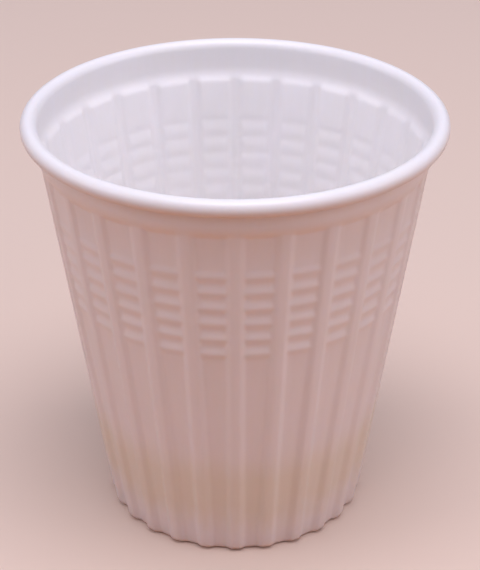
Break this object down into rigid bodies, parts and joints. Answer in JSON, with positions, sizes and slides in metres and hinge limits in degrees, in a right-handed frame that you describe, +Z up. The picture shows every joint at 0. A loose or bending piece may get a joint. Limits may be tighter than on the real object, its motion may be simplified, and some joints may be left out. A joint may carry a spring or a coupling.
{
  "type": "ribbed disposable plastic soup cup",
  "caption": "One-piece thin-walled tapered cup with a rolled rim, stacking shoulder, upright ribs, level grip ridges and a recessed floor, for soup or hot drinks.",
  "frame": {"origin": "on the cup's axis at the table surface, the middle of the foot ring", "axes": "+Z up along the cup's axis, from the foot to the rim; -Y faces the camera of the picture"},
  "size_m": [0.0702, 0.0702, 0.0727],
  "materials": {
    "white_plastic": "white thermoformed polystyrene with a soft satin gloss"
  },
  "bodies": {
    "root": {"cup": "white_plastic"}
  },
  "joints": []
}
